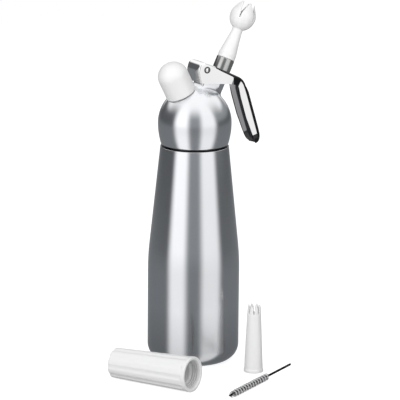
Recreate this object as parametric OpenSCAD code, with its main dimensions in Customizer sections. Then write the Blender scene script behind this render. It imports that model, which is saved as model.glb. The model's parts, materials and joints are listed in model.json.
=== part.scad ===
// Whipped cream dispenser: an aluminium bottle with a screwed-on head. The head carries a squeeze
// lever, a sprung valve stem with a tulip nozzle and a capped gas inlet. A charger holder, a spare
// nozzle and a cleaning brush lie beside it. Origin: centre of the bottle's base. +Z is up, and the
// lever's handle points to +X.

/* [Bottle] */
// Outer radius of the bottle's straight part
bottle_r = 40; // [36:0.5:46]
// Radius of the round edge between the base and the wall
base_round = 14.7; // [8:0.1:18]
// Height at which the wall starts to lean in
shoulder_z = 82; // [60:1:100]
// Length of the curve between the straight wall and the cone
shoulder_len = 23; // [12:1:34]
// Height of the bottle's upper edge, below the head
bottle_top_z = 191.6; // [175:0.5:215]
// Outer radius of the bottle at its upper edge
bottle_top_r = 29.8; // [28:0.1:32]
// Thickness of the bottle's wall
bottle_wall = 1.6; // [1.2:0.1:2.4]
// Thickness of the bottle's floor
floor_t = 2.2; // [1.6:0.1:4]
// Core radius of the threaded neck
neck_r = 25.2; // [24.4:0.1:25.6]
// Height of the threaded neck above the bottle's upper edge
neck_h = 13.2; // [10:0.1:15]
// Distance between two turns of the neck's thread
thread_pitch = 3; // [2.5:0.1:3.5]
// Height of a thread ridge above the core
thread_depth = 0.7; // [0.4:0.1:0.9]

/* [Head] */
// Height of the open joint line between the bottle and the head
seam_gap = 1.6; // [0.8:0.1:2.4]
// Radius of the head's dome
dome_r = 32; // [31:0.1:34]
// Height of the dome's centre above the bottle's upper edge
dome_rise = 20.4; // [18:0.1:23]
// Outer radius of the head at its lower edge
head_low_r = 29.2; // [28.6:0.1:30]
// Thickness of the dome
dome_wall = 4.7; // [3.5:0.1:5.2]
// Thickness of the flat sealing ring between the bottle and the head
gasket_t = 2.4; // [1.6:0.1:3]
// Width of the flat sealing ring
gasket_w = 3.6; // [3:0.1:4.2]
// Gap between two pieces that come apart by hand
loose_gap = 0.1; // [0.05:0.01:0.15]
// Radial gap of a sliding or turning fit
run_gap = 0.06; // [0.03:0.01:0.1]

/* [Spout] */
// Lean of the spout towards the handle, in degrees from vertical
spout_tilt = 25; // [20:1:30]
// Height above the bottle's upper edge at which the spout's axis meets the bottle's axis
spout_rise = 9.5; // [8:0.1:11]
// Outer radius of the spout's neck
spout_neck_r = 7.7; // [7.5:0.1:8.2]
// Distance from the spout's foot to the top of its neck
spout_neck_top = 51.4; // [50.6:0.1:52]
// Distance from the spout's foot to the valve seat
seat_s = 24; // [22:0.5:26]
// Radius of the boss that carries the valve seat
seat_boss_r = 8.6; // [8.2:0.1:9.2]
// Radius of the valve stem
stem_r = 3.6; // [3.3:0.1:3.8]
// Radius of the channel in the valve stem
stem_bore_r = 1.7; // [1.3:0.1:2]
// Outer radius of the stem's guide bush
bush_r = 5.2; // [4.9:0.1:5.4]
// Length of the stem's guide bush
bush_len = 7; // [5:0.5:9]
// Radius of the pocket for the return spring
spring_pocket_r = 6.2; // [6:0.1:6.5]
// Wire radius of the return spring
spring_wire_r = 0.55; // [0.4:0.05:0.7]
// Number of turns of the return spring
spring_turns = 7; // [5:1:9]
// Radius of the collar that carries the nozzle
collar_r = 8; // [7.8:0.1:8.2]
// Height of the collar above the lever
collar_h = 10.6; // [8:0.1:13]
// Radius of the thrust ring under the lever
thrust_r = 8.8; // [8.6:0.05:8.9]
// Thickness of the thrust ring
thrust_t = 2; // [1.6:0.1:2.2]
// Radius of the spigot that the nozzle goes over
spigot_r = 5.8; // [5.4:0.1:6]
// Length of the spigot
spigot_len = 9; // [7:0.5:11]

/* [Lever] */
// Distance of the lever's pin from the spout's axis
pin_offset = 19.4; // [18:0.1:21]
// Distance of the lever's top face above the pin
web_above_pin = 5.7; // [5.3:0.1:6.2]
// Distance from the spout's foot to the lever's top face
lever_top_s = 60.9; // [60:0.1:62]
// Width of the lever over its side plates
lever_w = 22; // [21.9:0.1:24]
// Width of the lever's handle
handle_w = 17.4; // [16:0.1:19]
// Thickness of the lever's walls
lever_wall = 1.8; // [1.4:0.1:1.8]
// Distance from the pin to the bend of the handle, along the lever
bend_from_pin = 40.4; // [38:0.1:46]
// Radius of the bend
bend_r = 12.7; // [9:0.1:15]
// Turn of the handle away from the lever's top face, in degrees
bend_angle = 47.8; // [44:0.1:52]
// Length of the handle from the bend to its tip
handle_len = 61.4; // [54:0.5:66]
// Depth of the handle's channel
handle_depth = 7.8; // [7:0.1:10]
// Radius of the lever's pin
pin_r = 2; // [1.6:0.1:2.2]
// Radius of the pin's round heads
pin_head_r = 3; // [2.6:0.1:3.4]
// Length that the collar's hole in the lever gives along the lever, each way
hole_play = 0.9; // [0.8:0.1:1.2]
// Radius of the eye in the head that holds the pin
eye_r = 3.4; // [3:0.1:3.6]

/* [Gas inlet] */
// Lean of the gas inlet away from the handle, in degrees from vertical
inlet_tilt = 27; // [24:1:30]
// Radius of the inlet's threaded nipple
nipple_r = 11.3; // [11:0.1:11.6]
// Height of the nipple above its seat
nipple_h = 14; // [11:0.5:16]
// Radius of the recess in the nipple for the neck of a charger
recess_r = 5.4; // [5:0.1:6]
// Depth of that recess
recess_depth = 8; // [6:0.5:9]
// Radius of the nipple's spigot inside the head
nipple_spigot_r = 6.6; // [6.2:0.1:7]
// Length of the nipple's spigot
nipple_spigot_len = 9.6; // [9:0.1:10.5]
// Radius of the check valve's ball
ball_r = 2.2; // [1.9:0.1:2.4]
// Wire radius of the check valve's spring
check_wire_r = 0.2; // [0.15:0.05:0.25]
// Number of turns of the check valve's spring
check_turns = 3; // [3:1:4]

/* [Cap] */
// Height of the cap
cap_h = 30.2; // [26:0.1:34]
// Thickness of the cap's wall
cap_wall = 1.8; // [1.4:0.1:2.2]
// Height of the cap's dome
cap_dome_h = 12.4; // [9:0.1:13]

/* [Tulip nozzle] */
// Radius of the nozzle's foot
tulip_foot_r = 7.8; // [7.7:0.1:8]
// Radius of the nozzle's waist
tulip_waist_r = 4.7; // [4.5:0.1:5.2]
// Distance from the nozzle's foot to its waist
tulip_waist_s = 25; // [22:0.5:28]
// Radius of the nozzle's bulb
tulip_bulb_r = 11.4; // [10:0.1:12]
// Distance from the nozzle's foot to the middle of its bulb
tulip_bulb_s = 39; // [37.5:0.1:42]
// Depth of the bulb's underside below its middle
tulip_bulb_drop = 12.8; // [11.5:0.1:13.2]
// Height of the petals above the middle of the bulb
petal_h = 12.6; // [11:0.1:14]
// Radius at the tips of the petals
petal_tip_r = 6.2; // [5:0.1:7]
// Number of petals
petal_count = 5; // [4:1:6]
// Thickness of the nozzle's wall
nozzle_wall = 1.5; // [1.2:0.1:1.6]

/* [Charger holder] */
// Radius of the holder at its mouth
holder_mouth_r = 15.3; // [15:0.1:16]
// Radius of the holder at its closed end
holder_end_r = 13.2; // [12.6:0.1:14]
// Length of the holder
holder_len = 78.4; // [76:0.2:84]
// Radius of the chamber for the charger
charger_bore_r = 9.3; // [9.1:0.1:10]
// Length of the charger chamber
charger_bore_len = 58; // [52:0.5:60]
// Radius of the holder's thread
holder_thread_r = 11.7; // [11.6:0.1:12.2]
// Number of flutes around the holder
flute_count = 10; // [8:1:14]
// Radius of a flute
flute_r = 6.5; // [5:0.1:8]
// Depth of a flute
flute_depth = 0.6; // [0.4:0.05:0.8]
// Place of the mouth's centre, to the right of the bottle's axis
holder_x = -50.4; // [-56:0.1:-40]
// Place of the mouth's centre, in front of the bottle's axis
holder_y = -91.4; // [-100:0.1:-86]
// Direction of the holder's axis on the floor, in degrees
holder_dir = -60.9; // [-66:0.1:-54]

/* [Spare nozzle] */
// Radius of the spare nozzle's foot
spare_foot_r = 8.5; // [8.2:0.1:9]
// Radius of the spare nozzle's top
spare_top_r = 5.6; // [5.2:0.1:6]
// Height of the spare nozzle
spare_h = 59.7; // [54:0.1:64]
// Number of teeth of the spare nozzle
tooth_count = 8; // [6:1:9]
// Depth of the slots between the teeth
tooth_slot_h = 8; // [5:0.5:10]
// Height of the rim at the spare nozzle's foot
spare_rim_h = 2.6; // [1.6:0.1:4]
// Place of the spare nozzle, to the right of the bottle's axis
spare_x = 26.7; // [24:0.1:32]
// Place of the spare nozzle, in front of the bottle's axis
spare_y = -60.7; // [-64:0.1:-56]

/* [Cleaning brush] */
// Radius over the brush's bristles
brush_r = 3.4; // [3:0.1:4]
// Length of the bristled part
bristle_len = 64; // [56:1:72]
// Length of bare wire before the bristles
brush_tip_len = 5; // [3:0.5:8]
// Length of the whole wire
brush_len = 112; // [104:1:120]
// Radius of the twisted wire
brush_wire_r = 0.9; // [0.7:0.05:1]
// Number of bristles
bristle_count = 400; // [300:20:480]
// Number of turns that the bristles wind around the wire
bristle_turns = 19; // [14:1:24]
// Width of one bristle
bristle_w = 0.16; // [0.12:0.02:0.2]
// Place of the wire's tip, to the right of the bottle's axis
brush_x = -33.9; // [-38:0.1:-28]
// Place of the wire's tip, in front of the bottle's axis
brush_y = -124.6; // [-130:0.1:-120]
// Direction of the brush on the floor, in degrees
brush_dir = 31.7; // [28:0.1:38]

/* [Hidden] */
$fn = 96;
EPS = 0.02;          // overlap of cutting shapes past the faces they open
FAR = 200;           // longer than any piece

// Heights along the bottle's axis
dome_z = bottle_top_z + dome_rise;
head_low_z = bottle_top_z + seam_gap;
spout_z = bottle_top_z + spout_rise;
neck_top_z = bottle_top_z + neck_h;
gasket_z = neck_top_z + loose_gap;
gasket_top_z = gasket_z + gasket_t;

// Bottle: the wall leans in along an arc, then along a cone to the upper edge
cone_run = bottle_top_z - shoulder_z - shoulder_len / 2;
cone_lean = atan((bottle_r - bottle_top_r) / cone_run);
shoulder_r = shoulder_len / sin(cone_lean);
neck_bore_r = neck_r - bottle_wall;
ridge_foot = 0.9;      // half the height of a thread ridge at its foot
ridge_top = 0.2;       // and at its crest

// Head: thread bore and the arc from the lower edge to the dome
head_bore_r = neck_r + thread_depth + loose_gap;
dome_in_r = dome_r - dome_wall;
waist_dz = dome_z - head_low_z;
waist_drop = dome_r - head_low_r;
waist_arc_r = (waist_dz * waist_dz + waist_drop * waist_drop) / (2 * waist_drop);

// Distances along the spout's axis, from the point where it meets the bottle's axis
bush_low_s = spring_floor_s() - bush_len;
stub_r = 2.2;
stub_len = 4.6;
stem_low_s = seat_s - stub_len;
web_low_s = lever_top_s - lever_wall;
thrust_top_s = web_low_s - 0.3;
thrust_low_s = thrust_top_s - thrust_t;
collar_top_s = lever_top_s + collar_h;
spring_r = stem_r + 0.45 + spring_wire_r;
seal_t = 2;
seal_r = 5.4;
seat_gap = 0.05;
nut_r = 4.4;
chamber_r = stem_r + 1;
port_s = seat_s + 2.6;
port_r = 1.1;
ring_section_r = 0.45;
groove_half = 0.55;
groove_r = stem_r - 2 * ring_section_r - 0.1;
function spring_floor_s() = seat_s + 13.5;

// Lever, in the spout's frame: x along the lever's top face, z along the spout
pin_s = lever_top_s - web_above_pin;
plate_in = lever_w / 2 - lever_wall;
lug_w = 2 * (plate_in - 0.5);
collar_hole_r = collar_r + 0.35;
bend_x = bend_from_pin - pin_offset;
run_dir = [cos(bend_angle), -sin(bend_angle)];
depth_dir = [-sin(bend_angle), -cos(bend_angle)];
bend_start = bend_r * tan(bend_angle / 2);
back_drop = 12.6;
narrow_from = 9;
narrow_to = bend_x - 4;

// Gas inlet: distances along its axis from the dome's centre
inlet_seat_r = nipple_r + 0.8;
inlet_seat_d = sqrt(dome_r * dome_r - inlet_seat_r * inlet_seat_r);
cap_low_d = inlet_seat_d + 0.3;
cap_bore_r = nipple_r + 0.3;
cap_r = cap_bore_r + cap_wall;
washer_t = 0.8;
nipple_pitch = 2;
nipple_core_r = nipple_r - 0.7;
valve_hole_r = 1.2;
nipple_foot_d = inlet_seat_d;
nipple_top_d = inlet_seat_d + nipple_h;
spigot_low_d = nipple_foot_d - nipple_spigot_len;
check_r = ball_r + 0.9;
ball_d = inlet_seat_d - 1.6;
plug_t = 2;
check_coil_r = 1.5;
plug_hole_r = 1;

// Loose pieces
holder_taper = asin((holder_mouth_r - holder_end_r) / holder_len);
holder_socket_len = 9;
brush_axis_z = brush_r - 0.5;

// The spout's frame: z along the spout's axis, x along the lever towards the handle
module on_spout() {
    translate([0, 0, spout_z]) rotate([0, spout_tilt, 0]) children();
}

// The inlet's frame: z along the inlet's axis, from the dome's centre
module on_inlet() {
    translate([0, 0, dome_z]) rotate([0, -inlet_tilt, 0]) children();
}

// An outline in x and z, extruded to a width across y
module slab(width) {
    rotate([90, 0, 0]) translate([0, 0, -width / 2]) linear_extrude(width) children();
}

// A flat ring from height z, t thick
module ring(r_out, r_in, z, t) {
    translate([0, 0, z]) difference() {
        cylinder(r = r_out, h = t);
        translate([0, 0, -EPS]) cylinder(r = r_in, h = t + 2 * EPS);
    }
}

// A seal with a round section
module o_ring(r_mid, r_section, z) {
    translate([0, 0, z]) rotate_extrude() translate([r_mid, 0]) circle(r = r_section, $fn = 24);
}

// Points of an arc from angle a to angle b
function arc(c, r, a, b, n) = [for (i = [0:n]) c + r * [cos(a + (b - a) * i / n), sin(a + (b - a) * i / n)]];

// ---- Wound wire: one unbroken tube along a helix
CURL_RINGS = 8;
WIRE_SIDES = 6;
function coil_centre(r, h, turns, i) =
    let (a = 360 * i / CURL_RINGS) [r * cos(a), r * sin(a), h * i / (CURL_RINGS * turns)];
function coil_points(r, wire, h, turns) = [
    for (i = [0:CURL_RINGS * turns], k = [0:WIRE_SIDES - 1])
        let (c = coil_centre(r, h, turns, i), a = 360 * i / CURL_RINGS, b = 360 * k / WIRE_SIDES)
        c + wire * [cos(b) * cos(a), cos(b) * sin(a), sin(b)]];
// Faces of a tube of n rings with m points each
function tube_faces(n, m) = concat(
    [for (i = [0:n - 2], k = [0:m - 1]) let (p = i * m + k, q = i * m + (k + 1) % m) [p, p + m, q]],
    [for (i = [0:n - 2], k = [0:m - 1]) let (p = i * m + k, q = i * m + (k + 1) % m) [q, p + m, q + m]],
    [for (k = [1:m - 2]) [0, k, k + 1]],
    [for (k = [1:m - 2]) [(n - 1) * m, (n - 1) * m + k + 1, (n - 1) * m + k]]);
function coil_gap(r, wire, h, turns) = min([for (i = [0:CURL_RINGS * (turns - 1)])
    norm(coil_centre(r, h, turns, i + CURL_RINGS) - coil_centre(r, h, turns, i)) - 2 * wire]);
module coil(r, wire, h, turns, name) {
    echo(str(name, " least gap between turns, mm: ", coil_gap(r, wire, h, turns)));
    polyhedron(points = coil_points(r, wire, h, turns),
        faces = tube_faces(CURL_RINGS * turns + 1, WIRE_SIDES), convexity = 10);
}

// ---- Bottle
// Half outline of the bottle's side, moved in by d, from angle a of the round base edge upwards
function bottle_side(d, a) = concat(
    arc([bottle_r - base_round, base_round], base_round - d, a, 0, 12),
    arc([bottle_r - shoulder_r, shoulder_z], shoulder_r - d, 0, cone_lean, 8));
floor_angle = -asin(min(1, (base_round - floor_t) / (base_round - bottle_wall)));

module bottle() {
    color("silver") {
        rotate_extrude() difference() {
            union() {
                polygon(concat([[0, 0]], bottle_side(0, -90), [[bottle_top_r, bottle_top_z], [0, bottle_top_z]]));
                translate([0, bottle_top_z - EPS]) square([neck_r, neck_h + EPS]);
                for (z = [bottle_top_z + 3:thread_pitch:neck_top_z - 2])
                    polygon([[neck_r - EPS, z - ridge_foot], [neck_r + thread_depth, z - ridge_top],
                        [neck_r + thread_depth, z + ridge_top], [neck_r - EPS, z + ridge_foot]]);
            }
            polygon(concat([[0, floor_t]], bottle_side(bottle_wall, floor_angle),
                [[bottle_top_r - bottle_wall, bottle_top_z - 6], [neck_bore_r, bottle_top_z - 2.4],
                    [neck_bore_r, neck_top_z + 1], [0, neck_top_z + 1]]));
        }
    }
}

// ---- Head
// Half outline of the head's outside
function head_outline() = concat(
    [[0, head_low_z], [head_low_r, head_low_z]],
    arc([dome_r - waist_arc_r, dome_z], waist_arc_r,
        -asin(waist_dz / waist_arc_r) * 0.85, 0, 6),
    arc([0, dome_z], dome_r, 3, 90, 32));

module head_cavity() {
    rotate_extrude() union() {
        translate([0, head_low_z - 1]) square([head_bore_r, gasket_top_z - head_low_z + 1]);
        intersection() {
            translate([0, dome_z]) circle(r = dome_in_r);
            translate([0, gasket_top_z - EPS]) square([dome_in_r, FAR]);
        }
    }
}

// The bracket between the lever's plates, with the eye for its pin
module pin_bracket() {
    slab(lug_w) union() {
        translate([-pin_offset, pin_s]) circle(r = eye_r);
        polygon([[-pin_offset - eye_r * 0.9, pin_s - 1.5], [-pin_offset + 3, pin_s - back_drop - 0.2],
            [-pin_offset + 1, pin_s - back_drop - 4.9], [-pin_offset - 1, seat_s + 10], [0, seat_s + 12],
            [0, spout_neck_top - 1.4], [-thrust_r - 1.6, spout_neck_top - 1.4],
            [-pin_offset + eye_r * 0.9, pin_s - 1.5]]);
    }
}

module head() {
    color("silver") difference() {
        union() {
            difference() {
                rotate_extrude() polygon(head_outline());
                head_cavity();
            }
            difference() {
                on_spout() {
                    pin_bracket();
                    cylinder(r = spout_neck_r, h = spout_neck_top);
                }
                translate([0, 0, dome_z]) sphere(r = dome_in_r + 1);
                translate([0, 0, dome_z - FAR]) cylinder(r = FAR, h = FAR);
            }
            on_spout() translate([0, 0, seat_s]) cylinder(r = seat_boss_r, h = spring_floor_s() - seat_s + 0.5);
            on_inlet() translate([0, 0, spigot_low_d]) cylinder(r = nipple_spigot_r + 2.4,
                h = nipple_spigot_len - 2);
        }
        on_spout() {
            translate([0, 0, spring_floor_s()]) cylinder(r = spring_pocket_r, h = FAR);
            translate([0, 0, bush_low_s]) cylinder(r = bush_r, h = bush_len + 1);
            translate([0, 0, seat_s - 1]) cylinder(r = chamber_r, h = bush_low_s - seat_s + 2);
            translate([-pin_offset, FAR / 2, pin_s]) rotate([90, 0, 0]) cylinder(r = pin_r + run_gap, h = FAR);
        }
        on_inlet() {
            translate([0, 0, inlet_seat_d]) cylinder(r = inlet_seat_r + 4, h = nipple_h);
            translate([0, 0, spigot_low_d - 4]) cylinder(r = nipple_spigot_r, h = FAR / 4);
        }
    }
}

module head_gasket() {
    color("whitesmoke") ring(head_bore_r - loose_gap, head_bore_r - loose_gap - gasket_w, gasket_z, gasket_t);
}

// ---- Valve
module guide_bush() {
    color("ivory") on_spout() ring(bush_r, stem_r + run_gap, bush_low_s, bush_len);
}

module stem_grooves() {
    for (z = ring_heights()) ring(stem_r + 1, groove_r, z - groove_half, 2 * groove_half);
}
function ring_heights() = [bush_low_s + bush_len * 0.3, bush_low_s + bush_len * 0.72];

module valve_stem() {
    color("lightgray") on_spout() difference() {
        union() {
            translate([0, 0, stem_low_s]) cylinder(r = stub_r, h = seat_s - stem_low_s + EPS);
            translate([0, 0, seat_s - seat_gap]) cylinder(r = stem_r, h = collar_top_s - 2 - seat_s);
        }
        translate([0, 0, port_s]) cylinder(r = stem_bore_r, h = FAR);
        translate([0, 0, port_s]) rotate([90, 0, 0]) translate([0, 0, -FAR / 2]) cylinder(r = port_r, h = FAR);
        stem_grooves();
    }
}

module stem_o_rings() {
    color("dimgray") on_spout() for (z = ring_heights())
        o_ring(stem_r + 0.03 - ring_section_r, ring_section_r, z);
}

module valve_seal() {
    color("dimgray") on_spout() ring(seal_r, stub_r, seat_s - seat_gap - seal_t, seal_t);
}

module valve_nut() {
    color("silver") on_spout() translate([0, 0, stem_low_s + 0.2]) difference() {
        cylinder(r = nut_r, h = stub_len - seal_t - 0.2 - seat_gap, $fn = 6);
        translate([0, 0, -EPS]) cylinder(r = stub_r, h = stub_len);
    }
}

module valve_spring() {
    spring_h = thrust_low_s - spring_floor_s() - 2 * spring_wire_r;
    color("gainsboro") on_spout() translate([0, 0, spring_floor_s() + spring_wire_r])
        coil(spring_r, spring_wire_r, spring_h, spring_turns, "valve_spring");
}

module thrust_ring() {
    color("silver") on_spout() ring(thrust_r, stem_r, thrust_low_s, thrust_t);
}

module nozzle_collar() {
    color("lightgray") on_spout() difference() {
        union() {
            translate([0, 0, thrust_top_s]) cylinder(r = collar_r, h = collar_top_s - thrust_top_s - 0.5);
            translate([0, 0, collar_top_s - 0.5 - EPS]) cylinder(r1 = collar_r, r2 = collar_r - 0.5, h = 0.5 + EPS);
            translate([0, 0, collar_top_s - EPS]) cylinder(r = spigot_r, h = spigot_len + EPS);
        }
        translate([0, 0, thrust_top_s - EPS]) cylinder(r = stem_r, h = collar_top_s - 2 - thrust_top_s + 2 * EPS);
        translate([0, 0, thrust_top_s]) cylinder(r = stem_r - 0.6, h = FAR);
    }
}

// ---- Tulip nozzle
tulip_tip_s = tulip_bulb_s + petal_h;
tulip_shank_s = tulip_waist_s * 0.72;
tulip_shank_r = tulip_waist_r + 0.9;
bulb_foot_angle = -65;   // where the bulb's rounded side starts, below its middle
petal_angle = 30;        // where that side ends and the petals run straight to their tips
first_notch = 226;       // direction of the notch that faces the front
notch_drop = 2.2;        // how far the notches reach below the bulb's middle
notch_slit_h = 5;        // length of each notch's narrow foot
// Rounded side of the bulb, moved in by d: half an ellipse below the middle, an arc above it
function bulb_side(d, foot_angle) = concat(
    [for (i = [0:8]) let (a = foot_angle * (1 - i / 8))
        [(tulip_bulb_r - d) * cos(a), tulip_bulb_s + (tulip_bulb_drop - d) * sin(a)]],
    [for (i = [1:4]) let (a = petal_angle * i / 4)
        [(tulip_bulb_r - d) * cos(a), tulip_bulb_s + (tulip_bulb_r - d) * sin(a)]]);
function tulip_outline() = concat(
    [[tulip_foot_r, 0], [tulip_foot_r, 4], [tulip_shank_r, tulip_shank_s], [tulip_waist_r, tulip_waist_s]],
    bulb_side(0, bulb_foot_angle),
    [[petal_tip_r, tulip_tip_s]]);
function tulip_bore() = concat(
    [[0, -1], [spigot_r + loose_gap, -1], [spigot_r + loose_gap, spigot_len + 0.6],
        [tulip_shank_r - nozzle_wall, tulip_shank_s], [tulip_waist_r - nozzle_wall, tulip_waist_s]],
    bulb_side(nozzle_wall, bulb_foot_angle - 3),
    [[petal_tip_r - nozzle_wall * 0.6, tulip_tip_s + EPS], [petal_tip_r - nozzle_wall * 0.6, tulip_tip_s + 5],
        [0, tulip_tip_s + 5]]);

module tulip_nozzle() {
    notch_w = 2 * petal_tip_r * sin(180 / petal_count) - 1.2;
    color("white") on_spout() translate([0, 0, collar_top_s + loose_gap]) difference() {
        rotate_extrude() difference() {
            polygon(concat([[0, 0]], tulip_outline(), [[0, tulip_tip_s]]));
            polygon(tulip_bore());
        }
        for (i = [0:petal_count - 1])
            rotate([0, 0, first_notch + i * 360 / petal_count]) rotate([90, 0, 90])
                linear_extrude(FAR) polygon([[-0.35, tulip_bulb_s - notch_drop],
                    [0.35, tulip_bulb_s - notch_drop], [0.7, tulip_bulb_s - notch_drop + notch_slit_h],
                    [notch_w / 2, tulip_tip_s + 1], [-notch_w / 2, tulip_tip_s + 1],
                    [-0.7, tulip_bulb_s - notch_drop + notch_slit_h]]);
    }
}

// ---- Lever
function handle_point(run, depth) = [bend_x, lever_top_s] + run * run_dir + depth * depth_dir;
bend_centre = [bend_x - bend_start, lever_top_s - bend_r];
// Side view of the lever's outer surface, moved in by d
function lever_back(d) = concat(
    [[-pin_offset - 0.2 + 1.3 * d, pin_s - back_drop], [-pin_offset - 6.7 + d, pin_s - 4.25 + 0.3 * d],
        [-pin_offset - 7.4 + d, pin_s + 2.6 - 0.3 * d], [-pin_offset - 4.3 + 0.3 * d, lever_top_s - d]],
    arc(bend_centre, bend_r - d, 90, 90 - bend_angle, 8),
    [handle_point(handle_len - d, d)]);
function lever_rim(out) = [handle_point(handle_len - 0.4, handle_depth - 6 + out),
    handle_point(handle_len - 1.7, handle_depth - 3 + out), handle_point(handle_len - 5, handle_depth - 1.9 + out),
    handle_point(handle_len - 11, handle_depth - 1.5 + out), handle_point(handle_len * 0.66, handle_depth - 0.7 + out),
    handle_point(handle_len * 0.54, handle_depth + out), handle_point(2.5, handle_depth + out),
    [pin_offset - 11.8, pin_s - 3.2 - out]];

// Plan of the lever: wide over the plates, narrower along the handle, moved in by d
module lever_plan(d) {
    translate([0, 0, -FAR / 2]) linear_extrude(FAR) polygon([
        [-FAR, -lever_w / 2 + d], [narrow_from, -lever_w / 2 + d], [narrow_to, -handle_w / 2 + d],
        [FAR, -handle_w / 2 + d], [FAR, handle_w / 2 - d], [narrow_to, handle_w / 2 - d],
        [narrow_from, lever_w / 2 - d], [-FAR, lever_w / 2 - d]]);
}

// Front view of the handle: straight sides and a round tip, moved in by d
module handle_front(d) {
    translate([bend_x, 0, lever_top_s]) rotate([0, bend_angle, 0])
        translate([0, 0, -FAR / 2]) linear_extrude(FAR) union() {
            translate([-FAR, -FAR / 2]) square([FAR + handle_len - handle_w / 2, FAR]);
            translate([handle_len - handle_w / 2, 0]) circle(r = handle_w / 2 - d);
        }
}

module lever() {
    color("gainsboro") on_spout() difference() {
        intersection() {
            slab(lever_w) polygon(concat(lever_back(0), lever_rim(0)));
            lever_plan(0);
            handle_front(0);
        }
        intersection() {
            slab(lever_w) polygon(concat([[-pin_offset + 1.2, pin_s - back_drop - 3]], lever_back(lever_wall),
                lever_rim(6)));
            lever_plan(lever_wall);
            handle_front(lever_wall);
        }
        linear_extrude(FAR) union() {
            for (side = [-1, 1]) translate([side * hole_play, 0]) circle(r = collar_hole_r);
            translate([-hole_play, -collar_hole_r]) square([2 * hole_play, 2 * collar_hole_r]);
        }
        translate([-pin_offset, FAR / 2, pin_s]) rotate([90, 0, 0]) cylinder(r = pin_r, h = FAR);
    }
}

module lever_pin() {
    head_t = 0.8;
    color("silver") on_spout() translate([-pin_offset, 0, pin_s]) rotate([90, 0, 0]) {
        translate([0, 0, -lever_w / 2 - EPS]) cylinder(r = pin_r, h = lever_w + 2 * EPS);
        for (side = [0, 180]) rotate([side, 0, 0]) translate([0, 0, lever_w / 2])
            cylinder(r1 = pin_head_r, r2 = pin_head_r - 0.6, h = head_t);
    }
}

// ---- Gas inlet
module inlet_nipple() {
    color("silver") on_inlet() difference() {
        union() {
            translate([0, 0, nipple_foot_d + washer_t]) cylinder(r = nipple_r, h = 2);
            rotate_extrude() polygon(concat([[0, nipple_foot_d + washer_t + 1]],
                [[nipple_core_r, nipple_foot_d + washer_t + 1]],
                [for (z = [nipple_foot_d + 4:nipple_pitch:nipple_top_d - 2], k = [0:3])
                    [k == 1 || k == 2 ? nipple_r : nipple_core_r, z + k * 0.45]],
                [[nipple_core_r, nipple_top_d], [0, nipple_top_d]]));
            translate([0, 0, spigot_low_d]) cylinder(r = nipple_spigot_r, h = nipple_spigot_len + washer_t + 1.5);
        }
        translate([0, 0, nipple_top_d - recess_depth]) cylinder(r = recess_r, h = FAR);
        translate([0, 0, ball_d]) cylinder(r = valve_hole_r, h = FAR);
        translate([0, 0, spigot_low_d - EPS]) cylinder(r = check_r, h = ball_d - spigot_low_d + EPS);
        translate([0, 0, ball_d - EPS]) cylinder(r1 = check_r, r2 = valve_hole_r, h = check_r - valve_hole_r);
    }
}

module nipple_washer() {
    color("dimgray") on_inlet() ring(nipple_r - 0.2, nipple_spigot_r, nipple_foot_d, washer_t);
}

module piercing_pin() {
    foot_d = nipple_top_d - recess_depth;
    color("silver") on_inlet() difference() {
        union() {
            translate([0, 0, foot_d]) cylinder(r = 3, h = 1);
            translate([0, 0, foot_d - 2.4]) cylinder(r = valve_hole_r, h = 2.5);
            translate([0, 0, foot_d + 1 - EPS]) cylinder(r = 1.1, h = 2);
            translate([0, 0, foot_d + 3 - 2 * EPS]) cylinder(r1 = 1.1, r2 = 0.55, h = 2.4);
        }
        translate([0, 0, foot_d - 3]) cylinder(r = 0.4, h = FAR);
    }
}

module charger_seal() {
    color("dimgray") on_inlet() ring(recess_r, 3, nipple_top_d - recess_depth, 1.6);
}

module check_ball() {
    color("gainsboro") on_inlet() translate([0, 0, ball_rest_d()]) sphere(r = ball_r);
}
// The ball stops just below the cone above it
function ball_rest_d() = ball_d + check_r - ball_r * sqrt(2) - run_gap;

module check_spring() {
    low = spigot_low_d + plug_t;
    h = ball_rest_d() - ball_r - low - 2 * check_wire_r + 0.3;   // its top turn goes round the ball's foot
    color("gainsboro") on_inlet() translate([0, 0, low + check_wire_r])
        coil(check_coil_r, check_wire_r, h, check_turns, "check_spring");
}

module check_plug() {
    color("silver") on_inlet() ring(check_r, plug_hole_r, spigot_low_d, plug_t);
}

module inlet_cap() {
    side_h = cap_h - cap_dome_h;
    color("white") on_inlet() translate([0, 0, cap_low_d]) rotate_extrude() difference() {
        polygon(concat([[0, 0], [cap_r - 0.4, 0], [cap_r, 0.4]],
            [for (a = [0:6:90]) [cap_r * cos(a), side_h + cap_dome_h * sin(a)]]));
        polygon(concat([[0, -1], [cap_bore_r, -1]],
            [for (a = [0:9:90]) [cap_bore_r * cos(a), side_h + (cap_dome_h - cap_wall) * sin(a)]]));
    }
}

// ---- Loose pieces beside the bottle
// The holder's frame: z along its axis out of the mouth, with the mouth's face at z = 0
module on_holder() {
    translate([holder_x, holder_y, holder_mouth_r * cos(holder_taper)])
        rotate([0, 0, holder_dir]) rotate([0, 90 - holder_taper, 0]) children();
}

module charger_holder() {
    color("whitesmoke") on_holder() difference() {
        translate([0, 0, -holder_len]) cylinder(r1 = holder_end_r, r2 = holder_mouth_r, h = holder_len);
        for (i = [0:flute_count - 1]) rotate([0, 0, (i + 0.5) * 360 / flute_count])
            translate([holder_mouth_r + flute_r - flute_depth, 0, 0])
                rotate([0, holder_taper, 0]) translate([0, 0, -holder_len - 10])
                    cylinder(r = flute_r, h = holder_len + 6.4);
        translate([0, 0, -holder_socket_len]) cylinder(r = holder_thread_r, h = holder_socket_len + 1);
        translate([0, 0, -1.4]) cylinder(r1 = holder_thread_r, r2 = holder_thread_r + 1.4 + EPS, h = 1.4 + EPS);
        translate([0, 0, -holder_socket_len - charger_bore_len]) cylinder(r = charger_bore_r, h = FAR);
        translate([0, 0, -holder_socket_len - charger_bore_len]) sphere(r = charger_bore_r - 1);
    }
}

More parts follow.
